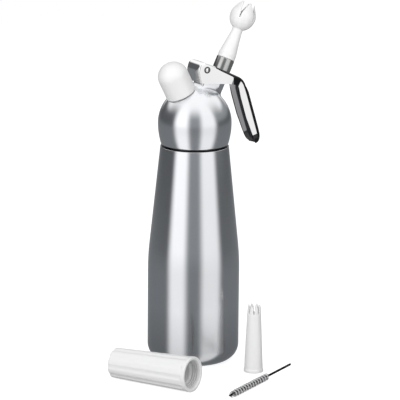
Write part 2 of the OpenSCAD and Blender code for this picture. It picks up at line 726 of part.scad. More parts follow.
module spare_nozzle() {
    color("white") translate([spare_x, spare_y, 0]) difference() {
        union() {
            cylinder(r = spare_foot_r, h = spare_rim_h);
            translate([0, 0, spare_rim_h - EPS]) cylinder(r1 = spare_foot_r - 0.4, r2 = spare_top_r,
                h = spare_h - spare_rim_h + EPS);
        }
        translate([0, 0, -EPS]) cylinder(r = spigot_r + loose_gap, h = spigot_len + 0.6);
        translate([0, 0, spigot_len]) cylinder(r1 = spigot_r - 0.6, r2 = spare_top_r - nozzle_wall,
            h = spare_h - spigot_len + EPS);
        for (i = [0:tooth_count - 1]) rotate([0, 0, (i + 0.3) * 360 / tooth_count]) rotate([90, 0, 90])
            linear_extrude(FAR) polygon([[-0.35, spare_h - tooth_slot_h], [0.35, spare_h - tooth_slot_h],
                [0.6, spare_h - 3], [1.9, spare_h + 1], [-1.9, spare_h + 1], [-0.6, spare_h - 3]]);
    }
}

// The brush's frame: z along the wire from its tip
module on_brush() {
    translate([brush_x, brush_y, brush_axis_z]) rotate([0, 0, brush_dir]) rotate([0, 90, 0]) children();
}

module brush_wire() {
    color("dimgray") on_brush() {
        cylinder(r = brush_wire_r, h = brush_tip_len);
        translate([0, 0, brush_tip_len]) cylinder(r = brush_wire_r * 0.6, h = bristle_len);
        translate([0, 0, brush_tip_len + bristle_len])
            cylinder(r = brush_wire_r, h = brush_len - brush_tip_len - bristle_len);
    }
}

// Points of all bristles, four for each: three at its root and one at its end
function bristle_points() = [for (i = [0:bristle_count - 1], k = [0:3])
    let (a = 360 * bristle_turns * i / bristle_count,
        z = brush_tip_len + 0.4 + (bristle_len - 0.8) * i / (bristle_count - 1),
        out = [cos(a), sin(a), 0], side = [-sin(a), cos(a), 0],
        root = (brush_wire_r * 0.75) * out + [0, 0, z])
    k == 3 ? brush_r * out + [0, 0, z] :
        root + bristle_w * (cos(120 * k) * side + [0, 0, sin(120 * k)])];
function bristle_faces() = [for (i = [0:bristle_count - 1], f = [[0, 1, 2], [0, 3, 1], [1, 3, 2], [2, 3, 0]])
    4 * i * [1, 1, 1] + f];

module brush_bristles() {
    color("lightgray") intersection() {
        on_brush() union() {
            ring(brush_wire_r, brush_wire_r * 0.6, brush_tip_len, bristle_len, $fn = 16);
            polyhedron(points = bristle_points(), faces = bristle_faces(), convexity = 10);
        }
        translate([brush_x - FAR, brush_y - FAR, 0]) cube(2 * FAR);
    }
}

bottle();
head();
head_gasket();
guide_bush();
valve_stem();
stem_o_rings();
valve_seal();
valve_nut();
valve_spring();
thrust_ring();
nozzle_collar();
tulip_nozzle();
lever();
lever_pin();
inlet_nipple();
nipple_washer();
piercing_pin();
charger_seal();
check_ball();
check_spring();
check_plug();
inlet_cap();
charger_holder();
spare_nozzle();
brush_wire();
brush_bristles();
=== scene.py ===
"""Dressed model of a whipped cream dispenser with its charger holder, spare nozzle and brush."""
import json
import math
import random

import bmesh
import bpy
from mathutils import Matrix, Vector


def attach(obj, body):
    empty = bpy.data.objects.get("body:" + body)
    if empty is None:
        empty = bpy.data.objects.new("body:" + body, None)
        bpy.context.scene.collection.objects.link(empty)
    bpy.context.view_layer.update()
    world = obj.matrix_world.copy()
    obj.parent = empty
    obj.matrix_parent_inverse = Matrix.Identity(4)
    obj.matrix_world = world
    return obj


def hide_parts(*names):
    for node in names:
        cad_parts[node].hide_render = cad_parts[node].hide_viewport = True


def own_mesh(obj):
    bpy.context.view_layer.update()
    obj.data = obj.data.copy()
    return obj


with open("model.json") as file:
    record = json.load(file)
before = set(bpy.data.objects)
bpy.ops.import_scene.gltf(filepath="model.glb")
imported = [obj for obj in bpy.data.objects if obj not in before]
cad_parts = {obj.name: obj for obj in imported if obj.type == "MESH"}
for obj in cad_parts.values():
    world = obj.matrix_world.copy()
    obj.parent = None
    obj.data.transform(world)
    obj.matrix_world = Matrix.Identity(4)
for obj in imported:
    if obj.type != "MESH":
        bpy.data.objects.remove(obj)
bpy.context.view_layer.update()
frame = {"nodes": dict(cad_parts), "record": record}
MM = 0.001
rng = random.Random(7)

# ---- Frames of the model, in millimetres, as the solids have them
DOME_Z, DOME_R = 212.0, 32.0
SPOUT_Z, SPOUT_TILT, INLET_TILT = 201.1, 25, -27
SPOUT = Matrix.Translation((0, 0, SPOUT_Z)) @ Matrix.Rotation(math.radians(SPOUT_TILT), 4, "Y")
INLET = Matrix.Translation((0, 0, DOME_Z)) @ Matrix.Rotation(math.radians(INLET_TILT), 4, "Y")
HOLDER_MOUTH_R, HOLDER_END_R, HOLDER_LEN = 15.3, 13.2, 78.4
HOLDER_STEP, THREAD_R = 9.0, 11.7
HOLDER_TAPER = math.asin((HOLDER_MOUTH_R - HOLDER_END_R) / HOLDER_LEN)
HOLDER = (
    Matrix.Translation((-50.4, -91.4, HOLDER_MOUTH_R * math.cos(HOLDER_TAPER)))
    @ Matrix.Rotation(math.radians(-60.9), 4, "Z")
    @ Matrix.Rotation(math.pi / 2 - HOLDER_TAPER, 4, "Y")
)
BRUSH = (
    Matrix.Translation((-33.9, -124.6, 2.9))
    @ Matrix.Rotation(math.radians(31.7), 4, "Z")
    @ Matrix.Rotation(math.pi / 2, 4, "Y")
)


def linked(obj):
    bpy.context.scene.collection.objects.link(obj)
    return obj


# ---- Camera: the photograph's viewing angle
def make_camera():
    # Distance and height in mm, focal length in pixels of a square picture
    far, height, focal, picture = 2600.0, 753.4848510984185, 3064.323969852161, 400
    roll, yaw, pitch = 0.008880227077242859, 0.0019696926062340928, 0.2306841138074985
    turn = math.radians(29)
    fwd = Vector((math.sin(yaw) * math.cos(pitch), math.cos(yaw) * math.cos(pitch), -math.sin(pitch)))
    right = Vector((math.cos(yaw), -math.sin(yaw), 0))
    up = right.cross(fwd)
    r = math.cos(roll) * right + math.sin(roll) * up
    u = -math.sin(roll) * right + math.cos(roll) * up
    spin = Matrix(((math.cos(turn), math.sin(turn), 0), (-math.sin(turn), math.cos(turn), 0), (0, 0, 1)))
    place = spin @ Vector((0, -far, height)) * MM
    cols = [spin @ r, spin @ u, spin @ -fwd]
    data = bpy.data.cameras.new("photo_camera")
    data.sensor_width = 36
    data.lens = 36 * focal / picture
    data.clip_start, data.clip_end = 0.05, 50
    cam = linked(bpy.data.objects.new("photo_camera", data))
    m = Matrix([[cols[j][i] for j in range(3)] for i in range(3)]).to_4x4()
    m.translation = place
    cam.matrix_world = m
    bpy.context.scene.camera = cam
    toward = Vector((place.x, place.y, 0)).normalized()
    return toward, cols[0]


TOWARD, RIGHT = make_camera()


# ---- Materials
def new_material(name, color, metallic, roughness, **sockets):
    mat = bpy.data.materials.new(name)
    mat.use_nodes = True
    nt = mat.node_tree
    bsdf = nt.nodes["Principled BSDF"]
    bsdf.inputs["Base Color"].default_value = (*color, 1)
    bsdf.inputs["Metallic"].default_value = metallic
    bsdf.inputs["Roughness"].default_value = roughness
    for key, value in sockets.items():
        bsdf.inputs[key.replace("_", " ")].default_value = value
    return mat, nt, bsdf


def noise(nt, stretch, detail=3.0, rough=0.5):
    """Noise in the model's own coordinates, with stretch features per metre along x, y and z."""
    coord = nt.nodes.new("ShaderNodeTexCoord")
    scale = nt.nodes.new("ShaderNodeMapping")
    scale.inputs["Scale"].default_value = stretch
    tex = nt.nodes.new("ShaderNodeTexNoise")
    tex.inputs["Scale"].default_value = 1
    tex.inputs["Detail"].default_value = detail
    tex.inputs["Roughness"].default_value = rough
    nt.links.new(coord.outputs["Object"], scale.inputs["Vector"])
    nt.links.new(scale.outputs["Vector"], tex.inputs["Vector"])
    return tex.outputs["Fac"]


def ramp(nt, fac, low, high, start=0.3, end=0.7):
    node = nt.nodes.new("ShaderNodeValToRGB")
    node.color_ramp.elements[0].position = start
    node.color_ramp.elements[1].position = end
    node.color_ramp.elements[0].color = (*low, 1)
    node.color_ramp.elements[1].color = (*high, 1)
    nt.links.new(fac, node.inputs["Fac"])
    return node.outputs["Color"]


def spread(nt, fac, low, high):
    node = nt.nodes.new("ShaderNodeMapRange")
    node.inputs["To Min"].default_value = low
    node.inputs["To Max"].default_value = high
    nt.links.new(fac, node.inputs["Value"])
    return node.outputs["Result"]


def bump(nt, bsdf, fac, strength, distance):
    node = nt.nodes.new("ShaderNodeBump")
    node.inputs["Strength"].default_value = strength
    node.inputs["Distance"].default_value = distance
    nt.links.new(fac, node.inputs["Height"])
    nt.links.new(node.outputs["Normal"], bsdf.inputs["Normal"])


def scaled(color, k):
    return tuple(min(1, c * k) for c in color)


def painted_foot_shade(nt, tone, top):
    """Painted shade: the colour darkened from the given height down to the floor."""
    coord, parts = nt.nodes.new("ShaderNodeTexCoord"), nt.nodes.new("ShaderNodeSeparateXYZ")
    nt.links.new(coord.outputs["Object"], parts.inputs[0])
    height = nt.nodes.new("ShaderNodeMapRange")
    height.inputs["From Max"].default_value = top
    height.inputs["To Min"].default_value = 0.68
    nt.links.new(parts.outputs["Z"], height.inputs["Value"])
    mix = nt.nodes.new("ShaderNodeVectorMath")
    mix.operation = "SCALE"
    nt.links.new(tone, mix.inputs[0])
    nt.links.new(height.outputs["Result"], mix.inputs["Scale"])
    return mix.outputs["Vector"]


def turned_metal(name, color, rough, lines=(30, 30, 3200), strength=0.05, stretch=0.0, foot_shade_top=None):
    """Metal with fine turning marks around its axis and faint clouding."""
    mat, nt, bsdf = new_material(name, color, 1, rough, Anisotropic=stretch, Anisotropic_Rotation=0.25)
    if stretch:
        around = nt.nodes.new("ShaderNodeTangent")
        around.direction_type, around.axis = "RADIAL", "Z"
        nt.links.new(around.outputs["Tangent"], bsdf.inputs["Tangent"])
    marks = noise(nt, lines, 2)
    cloud = noise(nt, (14, 14, 9), 4)
    tone = ramp(nt, cloud, scaled(color, 0.96), scaled(color, 1.03))
    # With a height given, painted shade darkens the colour towards the floor.
    if foot_shade_top:
        tone = painted_foot_shade(nt, tone, foot_shade_top)
    nt.links.new(tone, bsdf.inputs["Base Color"])
    nt.links.new(spread(nt, marks, rough - 0.05, rough + 0.06), bsdf.inputs["Roughness"])
    bump(nt, bsdf, marks, strength, 0.00005)
    return mat


def polished_metal(name, color, rough=0.03):
    """Bright plated metal: nearly a mirror, with faint smears and waviness."""
    mat, nt, bsdf = new_material(name, color, 1, rough)
    smear = noise(nt, (70, 70, 45), 5, 0.6)
    nt.links.new(ramp(nt, smear, scaled(color, 0.96), color), bsdf.inputs["Base Color"])
    nt.links.new(spread(nt, smear, rough * 0.6, rough * 1.4), bsdf.inputs["Roughness"])
    bump(nt, bsdf, noise(nt, (120, 120, 120), 2), 0.03, 0.00008)
    return mat


def moulded(name, color, rough, grain=1800, strength=0.05):
    """Moulded plastic or rubber with a fine grain."""
    mat, nt, bsdf = new_material(name, color, 0, rough)
    cloud = noise(nt, (28, 28, 28), 3)
    fine = noise(nt, (grain, grain, grain), 2)
    nt.links.new(ramp(nt, cloud, scaled(color, 0.975), color), bsdf.inputs["Base Color"])
    nt.links.new(spread(nt, fine, rough - 0.05, rough + 0.05), bsdf.inputs["Roughness"])
    bump(nt, bsdf, fine, strength, 0.00006)
    return mat


MATS = {
    # The bottle's colour carries painted shade, darker from 52 mm down to the floor.
    "bottle_metal": turned_metal("bottle_aluminium", (0.78, 0.79, 0.81), 0.2, stretch=0.7, foot_shade_top=0.052),
    "head_metal": turned_metal("head_aluminium", (0.82, 0.83, 0.85), 0.2, (40, 40, 2600), 0.03, 0.5),
    "lever_chrome": polished_metal("chrome", (0.96, 0.96, 0.96)),
    # Painted reflection and shade: darker copies of the lever's chrome, laid on its back, edges, bend, tip and
    # inner faces.
    "lever_back": polished_metal("chrome_painted_dark", (0.14, 0.14, 0.142)),
    "lever_painted_shade": polished_metal("chrome_painted_shade", (0.3, 0.3, 0.31), 0.16),
    "lever_painted_black": polished_metal("chrome_painted_black", (0.05, 0.05, 0.052), 0.2),
    "collar_chrome": turned_metal("collar_chrome", (0.5, 0.5, 0.49), 0.14, (60, 60, 2600), 0.04),
    "steel": turned_metal("machined_steel", (0.7, 0.71, 0.73), 0.26, (500, 500, 500), 0.04),
    "white_plastic": moulded("white_plastic", (0.86, 0.86, 0.86), 0.36),
    # Painted shade: a darker copy of the white plastic for the shaded bore of the holder.
    "holder_painted_shade": moulded("holder_painted_shade", (0.7, 0.7, 0.7), 0.5),
    # Painted highlight: the loops are coloured paler than the bristles, so they read as lit stripes.
    "brush_loops": moulded("loop_painted_highlight", (0.66, 0.66, 0.67), 0.4, 900, 0.02),
    "bush_plastic": moulded("bush_plastic", (0.86, 0.84, 0.77), 0.45),
    "seal_rubber": moulded("black_rubber", (0.03, 0.03, 0.03), 0.6, 2400, 0.12),
    # Painted shade: a near-black aluminium for the shadowed joint under the head.
    "neck_metal": turned_metal("neck_painted_shade", (0.13, 0.13, 0.135), 0.45, (40, 40, 2600), 0.05),
    "gasket_rubber": moulded("pale_rubber", (0.78, 0.78, 0.76), 0.6, 2400, 0.12),
    "brush_steel": polished_metal("dark_wire", (0.016, 0.016, 0.017), 0.3),
    "bristle_plastic": moulded("bristle_plastic", (0.17, 0.17, 0.172), 0.5, 900, 0.02),
}
SLOTS = {s["node"]: s["material_slot"] for s in frame["record"]["subparts"]}
for node_name, node_obj in frame["nodes"].items():
    node_obj.data.materials.clear()
    node_obj.data.materials.append(MATS[SLOTS[node_name]])


# ---- Mesh helpers. Shapes are written in millimetres in a part's own frame
def polar(r, a, z):
    return (r * math.cos(a), r * math.sin(a), z)


def clamp(x, low=0, high=1):
    return max(low, min(high, x))


def add_piece(name, verts, faces, place, body, slot, *replaced, smooth=True, mats=None):
    mesh = bpy.data.meshes.new(name)
    mesh.from_pydata([place @ Vector(v) * MM for v in verts], [], faces)
    return finish_piece(name, mesh, body, slot, *replaced, smooth=smooth, mats=mats)


def finish_piece(name, mesh, body, slot, *replaced, smooth=True, mats=None):
    bm = bmesh.new()
    bm.from_mesh(mesh)
    bmesh.ops.remove_doubles(bm, verts=bm.verts, dist=1e-7)
    bmesh.ops.dissolve_degenerate(bm, edges=bm.edges, dist=1e-8)
    bmesh.ops.recalc_face_normals(bm, faces=bm.faces)
    bm.to_mesh(mesh)
    bm.free()
    kinds = [p.material_index for p in mesh.polygons]
    mesh.materials.clear()
    for key in mats or [slot]:
        mesh.materials.append(MATS[key])
    for p, kind in zip(mesh.polygons, kinds):
        p.use_smooth = smooth
        p.material_index = kind if mats else 0
    obj = linked(bpy.data.objects.new(name, mesh))
    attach(obj, body)
    if replaced:
        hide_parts(*replaced)
    return obj


def lathe(profile, count=128):
    """A surface turned about z. The profile is a closed loop of (r, z), or starts and ends at r = 0."""
    verts, faces = [], []
    for r, z in profile:
        verts += [polar(r, 2 * math.pi * k / count, z) for k in range(count)]
    rows = len(profile)
    closed = profile[0][0] > 0 or profile[-1][0] > 0
    for i in range(rows if closed else rows - 1):
        j = (i + 1) % rows
        for k in range(count):
            n = (k + 1) % count
            faces.append((i * count + k, i * count + n, j * count + n, j * count + k))
    return verts, faces


def rounded(profile, radius, steps=4, closed=True):
    """The profile with each corner between two straight sides rounded off."""
    out, n = [], len(profile)
    for i, p in enumerate(profile):
        if not closed and i in (0, n - 1):
            out.append(p)
            continue
        p = Vector(p)
        a, b = Vector(profile[i - 1]) - p, Vector(profile[(i + 1) % n]) - p
        cut = min(radius, a.length * 0.45, b.length * 0.45)
        if a.angle(b) > math.radians(165):
            out.append(tuple(p))
            continue
        a, b = p + a.normalized() * cut, p + b.normalized() * cut
        for k in range(steps + 1):
            t = k / steps
            out.append(tuple(a * (1 - t) ** 2 + p * 2 * t * (1 - t) + b * t * t))
    return out


def arc(cx, cz, r, a, b, n):
    """n steps of an arc from a to b degrees."""
    angles = [math.radians(a + (b - a) * i / n) for i in range(n + 1)]
    return [(cx + r * math.cos(t), cz + r * math.sin(t)) for t in angles]


def tube(path, radius, sides=8):
    """A round tube along a list of points. radius is a number or one for each point."""
    verts, faces, n = [], [], len(path)
    path = [Vector(p) for p in path]
    side = Vector((0.31, 0.17, 0.93)).cross(path[1] - path[0]).normalized()
    for i, p in enumerate(path):
        along = (path[min(i + 1, n - 1)] - path[max(i - 1, 0)]).normalized()
        side = (side - along * side.dot(along)).normalized()
        other = along.cross(side)
        r = radius[i] if isinstance(radius, list) else radius
        for k in range(sides):
            a = 2 * math.pi * k / sides
            verts.append(p + r * (math.cos(a) * side + math.sin(a) * other))
    for i in range(n - 1):
        for k in range(sides):
            j = (k + 1) % sides
            faces.append((i * sides + k, i * sides + j, (i + 1) * sides + j, (i + 1) * sides + k))
    faces += [tuple(range(sides))[::-1], tuple(range((n - 1) * sides, n * sides))]
    return verts, faces


def joined(*parts):
    """Several (verts, faces) as one."""
    verts, faces = [], []
    for v, f in parts:
        base = len(verts)
        verts += v
        faces += [tuple(i + base for i in face) for face in f]
    return verts, faces


def evaluated(obj):
    """The object's mesh with its modifiers applied. The object is deleted."""
    dg = bpy.context.evaluated_depsgraph_get()
    mesh = bpy.data.meshes.new_from_object(obj.evaluated_get(dg))
    bpy.data.objects.remove(obj)
    return mesh


FILLET_GROWTH, FILLET_PASSES = 7, 70


def softened(node, name, voxel, passes, body, snap=None, fillet=None):
    """The node's solid, rebuilt as an even skin with softly rounded edges. snap moves a vertex back
    to its true place, and fillet picks vertices of a corner that is widened much more."""
    obj = linked(bpy.data.objects.new("work", frame["nodes"][node].data.copy()))
    remesh = obj.modifiers.new("skin", "REMESH")
    remesh.mode = "VOXEL"
    remesh.voxel_size = voxel * MM
    remesh.use_smooth_shade = True
    soft = obj.modifiers.new("soft", "SMOOTH")
    soft.factor, soft.iterations = 0.5, passes
    mesh = evaluated(obj)
    if snap:
        for v in mesh.vertices:
            v.co = snap(v.co / MM) * MM
    if fillet:
        bm = bmesh.new()
        bm.from_mesh(mesh)
        near = {v for v in bm.verts if fillet(v.co / MM)}
        for _ in range(FILLET_GROWTH):
            near |= {e.other_vert(v) for v in near for e in v.link_edges}
        near = list(near)
        for _ in range(FILLET_PASSES):
            bmesh.ops.smooth_vert(bm, verts=near, factor=0.5, use_axis_x=True, use_axis_y=True, use_axis_z=True)
        bm.to_mesh(mesh)
        bm.free()
    return finish_piece(name, mesh, body, SLOTS[node], node)


# ---- Bottle: one turned shell with its base, shoulder, neck thread and inside
BODY_R, BODY_Z, SHOULDER_R, SHOULDER_Z, BLEND_H = 40, 82, 29.8, 191.6, 23
BASE_R, FOOT_R, WALL = 14.7, 25.3, 1.6
NECK_R, NECK_BORE, NECK_TOP, THREAD_DEPTH, THREAD_PITCH = 25.2, 23.6, 204.8, 0.7, 3


def make_bottle():
    lean = math.atan((BODY_R - SHOULDER_R) / (SHOULDER_Z - BODY_Z - BLEND_H / 2))
    sweep = BLEND_H / math.sin(lean)
    outside = [(0, 0.25), (24.4, 0.25), (25.0, 0)] + arc(FOOT_R, BASE_R, BASE_R, -86, 0, 18)
    outside += arc(BODY_R - sweep, BODY_Z, sweep, 0, math.degrees(lean), 14)
    shoulder = [outside[-1], (SHOULDER_R, SHOULDER_Z), (NECK_R, SHOULDER_Z), (NECK_R, SHOULDER_Z + 1.6)]
    rim = rounded(shoulder, 0.5, closed=False)[1:]
    thread = []
    z = SHOULDER_Z + 3
    while z <= NECK_TOP - 2:
        crest = NECK_R + THREAD_DEPTH
        thread += [(NECK_R, z - 0.9), (crest, z - 0.2), (crest, z + 0.2), (NECK_R, z + 0.9)]
        z += THREAD_PITCH
    lip = [(NECK_R, NECK_TOP - 0.4), (24.9, NECK_TOP), (23.9, NECK_TOP), (NECK_BORE, NECK_TOP - 0.4)]
    inside = [(NECK_BORE, 189.2), (28.2, 185.6)]
    inside += arc(BODY_R - sweep, BODY_Z, sweep - WALL, math.degrees(lean), 0, 14)
    inside += arc(FOOT_R, BASE_R, BASE_R - WALL, 0, -72, 12) + [(0, 2.2)]
    turned = lathe(outside + rim + thread + lip + inside, 192)
    shell = add_piece("bottle_shell", *turned, Matrix(), "bottle", "bottle_metal", "bottle")
    # Painted shade: the shoulder under the head is coloured dark, for the shadow in the joint line
    shell.data.materials.append(MATS["neck_metal"])
    for p in shell.data.polygons:
        if 0.1914 < p.center.z < 0.1935 and 0.0245 < math.hypot(p.center.x, p.center.y) < 0.02972:
            p.material_index = 1


# ---- Head: the cast dome with its neck and bracket, edges softened, dome kept truly round
SKIRT_R, SKIRT_FOOT_Z = 64.514, 193.8


def snap_share(gap):
    """1 on the dome's own skin, 0 from 0.45 mm off it."""
    return clamp((0.45 - abs(gap)) / 0.25)


def snap_dome(p):
    if p.z >= DOME_Z:
        out = p - Vector((0, 0, DOME_Z))
        gap = DOME_R - out.length
        return p + out.normalized() * gap * snap_share(gap)
    reach = math.hypot(p.x, p.y)
    want = DOME_R - SKIRT_R + math.sqrt(SKIRT_R**2 - (p.z - DOME_Z) ** 2)
    w = snap_share(want - reach) if p.z > SKIRT_FOOT_Z else 0
    k = 1 + (want / reach - 1) * w if reach > 1 else 1
    return Vector((p.x * k, p.y * k, p.z))


def neck_foot(p):
    """Where the neck meets the dome, clear of the inlet."""
    out = (p - Vector((0, 0, DOME_Z))).length - DOME_R
    return 0.25 < out < 2.4 and p.z > DOME_Z + 12 and p.x > -11


# ---- Lever: one bent sheet with side plates and a channelled handle. Points are (x, z) in the
# spout's frame: the spine is the middle of its back, the rim is the free edge of its side plates
PIN = Vector((-19.4, 55.2))
LEVER_TOP, SHEET, PLATE_HALF = 60.9, 1.6, 11
NOSE = ((-19.9, 42.4), (-26.9, 50.95), (-27.6, 57.8), (-23.7, LEVER_TOP))
PLATE_RIM = ((-18.4, 43.0), (7.6, 52.0), (16.9, 53.81))
BEND, BEND_ANGLE, BEND_R = 21.0, math.radians(47.8), 12.7
BEND_CUT = BEND_R * math.tan(BEND_ANGLE / 2)
HANDLE, TIP_R, HANDLE_D = 61.4, 8.7, 7.8
RUN = Vector((math.cos(BEND_ANGLE), -math.sin(BEND_ANGLE)))
DEPTH = Vector((-math.sin(BEND_ANGLE), -math.cos(BEND_ANGLE)))
ACROSS, DOWN, EDGE_COLS = 28, 9, 5
ROW = 2 * DOWN + ACROSS + 1
# Face tones of the lever: its chrome, then painted shade, painted dark reflection and painted black.
CHROME, PAINTED_SHADE, PAINTED_DARK, PAINTED_BLACK = range(4)
LEVER_CHROME_AND_PAINT = ["lever_chrome", "lever_painted_shade", "lever_back", "lever_painted_black"]
SLOT_R, SLOT_SHIFT = 8.35, 0.9


def handle_depth(run):
    """Depth of the handle's channel at a distance from the bend's corner."""
    table = [(0, HANDLE_D), (33.2, HANDLE_D), (40.5, 7.1), (50.4, 6.3), (56.4, 5.9), (59.7, 4.8), (61.0, 2.6)]
    table.append((HANDLE, 2.0))
    for (a, da), (b, db) in zip(table, table[1:]):
        if run <= b:
            return da + (db - da) * (run - a) / (b - a)
    return table[-1][1]


def along(points, t):
    """The point at share t of a polyline's length."""
    spans = [(b - a).length for a, b in zip(points, points[1:])]
    want = t * sum(spans)
    for a, b, s in zip(points, points[1:], spans):
        if want <= s:
            return a + (b - a) * (want / s)
        want -= s
    return points[-1]


def chaikin(points, rounds):
    """The polyline with its corners cut off, again and again."""
    for _ in range(rounds):
        fine = [points[0]]
        for a, b in zip(points, points[1:]):
            fine += [a * 0.8 + b * 0.2, a * 0.2 + b * 0.8]
        points = fine + [points[-1]]
    return points


def plate_half(x):
    """Half of the lever's width at x along its top."""
    return PLATE_HALF - 2.3 * clamp((x - 9) / 8)


def lever_stations():
    """Cross-sections from the nose to the handle's tip: back point, rim point, run along the handle."""
    start = BEND - BEND_CUT
    spine = chaikin([Vector(p) for p in NOSE + ((start, LEVER_TOP),)], 3)
    rim = [Vector(p) for p in PLATE_RIM]
    stations = [(along(spine, i / 60), along(rim, i / 60), None) for i in range(61)]
    corner = Vector((BEND, LEVER_TOP))
    rim_end = corner + RUN * BEND_CUT + DEPTH * HANDLE_D
    for i in range(1, 13):
        a = math.pi / 2 - BEND_ANGLE * i / 12
        p = Vector((start, LEVER_TOP - BEND_R)) + BEND_R * Vector((math.cos(a), math.sin(a)))
        stations.append((p, rim[-1].lerp(rim_end, i / 12), None))
    straight = [BEND_CUT + (HANDLE - TIP_R - BEND_CUT) * i / 24 for i in range(1, 25)]
    round_tip = [HANDLE - TIP_R + TIP_R * math.sin(math.pi / 2 * i / 22) for i in range(1, 23)]
    for run in straight + round_tip:
        p = corner + RUN * run
        stations.append((p, p + DEPTH * handle_depth(run), run))
    return stations


def lever_row(p, e, run):
    """One cross-section: down a side plate, over the rounded back, down the other plate."""
    reach = e - p
    way = reach.normalized()
    power, edge_r, past = 2, 2.0 + 0.8 * clamp((p.x + 14) / 6), 0
    if run is None and p.y < 52 and p.x < -15:
        edge_r = 1.6
    elif run is not None:
        grow = min(1, (run - BEND_CUT) / 8, max(0, HANDLE - run) / 12)
        power, edge_r = 2 - 0.6 * grow, 2.7 + 2.3 * grow
        p = p - way * 2.6 * grow
        e = e + way * 0.6 * grow
        past = max(0, run - (HANDLE - TIP_R))
    edge_r = min(edge_r, reach.length * 0.8)
    tip_half = math.sqrt(max(0, TIP_R**2 - past**2)) if past else None
    side = []
    for i in range(DOWN):
        q = e + (p + way * edge_r - e) * i / DOWN
        side.append((q.x, tip_half if past else plate_half(q.x), q.y))
    back, half = [], tip_half if past else plate_half(p.x)
    for i in range(ACROSS + 1):
        y = -math.cos(math.pi * i / ACROSS) * half
        edge = TIP_R - math.hypot(y, past) if past else half - abs(y)
        share = clamp((edge_r - edge) / edge_r)
        sink = edge_r * (1 - (1 - share**power) ** (1 / power))
        q = p + way * sink
        back.append((q.x, y, q.y))
    return [(x, -y, z) for x, y, z in side] + back + side[::-1]


def lever_painted_tone(col, x, run):
    """The chrome of a face, or painted dark reflection and shade in its place: darker along the back, near
    black at its edges, round the bend and at the tip.
    """
    if DOWN <= col < DOWN + ACROSS:
        if x < -14:
            return CHROME
        return PAINTED_BLACK if min(col - DOWN, DOWN + ACROSS - 1 - col) < EDGE_COLS else PAINTED_DARK
    at_bend, at_tip = 6.0 < x < 17.5, run is not None and run > HANDLE - 12.5
    return PAINTED_BLACK if at_bend or at_tip or (run is not None and col == ROW - 2) else CHROME


def slot_cutter():
    """The slot in the lever's back that the spout comes through."""
    ring = []
    for side in (1, -1):
        for i in range(33):
            a = math.radians(-90 * side + 180 * i / 32)
            ring.append((SLOT_SHIFT * side + SLOT_R * math.cos(a), SLOT_R * math.sin(a)))
    n = len(ring)
    verts = [(x, y, z) for z in (56.5, 63) for x, y in ring]
    faces = [tuple(range(n))[::-1], tuple(range(n, 2 * n))]
    faces += [(i, (i + 1) % n, n + (i + 1) % n, n + i) for i in range(n)]
    mesh = bpy.data.meshes.new("cut")
    mesh.from_pydata([SPOUT @ Vector(v) * MM for v in verts], [], faces)
    mesh.materials.append(MATS["lever_chrome"])
    return linked(bpy.data.objects.new("cut", mesh))


def make_lever():
    stations = lever_stations()
    verts, faces = [v for station in stations for v in lever_row(*station)], []
    for i in range(len(stations) - 1):
        for k in range(ROW - 1):
            faces.append((i * ROW + k, i * ROW + k + 1, (i + 1) * ROW + k + 1, (i + 1) * ROW + k))
    mesh = bpy.data.meshes.new("lever")
    mesh.from_pydata([SPOUT @ Vector(v) * MM for v in verts], [], faces)
    for p in mesh.polygons:
        row, col = divmod(p.index, ROW - 1)
        p.material_index = lever_painted_tone(col, stations[row][0].x, stations[row][2])
    bm = bmesh.new()
    bm.from_mesh(mesh)
    bmesh.ops.remove_doubles(bm, verts=bm.verts, dist=1e-6)
    bmesh.ops.recalc_face_normals(bm, faces=bm.faces)
    top, on_top = SPOUT.to_3x3() @ Vector((0, 0, 1)), SPOUT @ Vector((-8, 0, LEVER_TOP)) * MM
    if min(bm.faces, key=lambda f: (f.calc_center_median() - on_top).length).normal.dot(top) < 0:
        bmesh.ops.reverse_faces(bm, faces=bm.faces)
    bm.to_mesh(mesh)
    bm.free()
    obj = linked(bpy.data.objects.new("work", mesh))
    thick = obj.modifiers.new("sheet", "SOLIDIFY")
    thick.thickness, thick.offset, thick.use_even_offset = SHEET * MM, -1, True
    thick.thickness_clamp = 1
    # Painted shade on the sheet's inner faces, painted black on its cut rims.
    thick.material_offset, thick.material_offset_rim = PAINTED_SHADE, PAINTED_BLACK
    cutter = slot_cutter()
    hole = obj.modifiers.new("hole", "BOOLEAN")
    hole.operation, hole.object, hole.solver = "DIFFERENCE", cutter, "EXACT"
    round_edges = obj.modifiers.new("edges", "BEVEL")
    round_edges.width, round_edges.segments = 0.35 * MM, 2
    round_edges.limit_method, round_edges.angle_limit = "ANGLE", math.radians(50)
    for key in LEVER_CHROME_AND_PAINT:
        obj.data.materials.append(MATS[key])
    mesh = evaluated(obj)
    bpy.data.objects.remove(cutter)
    lever = finish_piece("squeeze_lever", mesh, "lever", "lever_chrome", "lever", mats=LEVER_CHROME_AND_PAINT)
    lever.visible_glossy = False
    lever.modifiers.new("normals", "WEIGHTED_NORMAL").keep_sharp = True


# ---- Small turned pieces
def place_lathe(name, profile, place, body, slot, node, radius=0.3, mats=None):
    turned = lathe(rounded(profile, radius), 96)
    add_piece(name, *turned, place, body, slot, node, mats=mats)


def make_small_turned():
    collar = [(3.0, 58.8), (8.0, 58.8), (8.0, 71.5), (5.8, 71.5), (5.8, 80.5), (3.0, 80.5)]
    place_lathe("spout_collar", collar, SPOUT, "stem", "lever_chrome", "nozzle_collar", 0.5, ["collar_chrome"])
    ring = [(3.6, 56.8), (8.8, 56.8), (8.8, 58.8), (3.6, 58.8)]
    place_lathe("press_ring", ring, SPOUT, "stem", "steel", "thrust_ring")


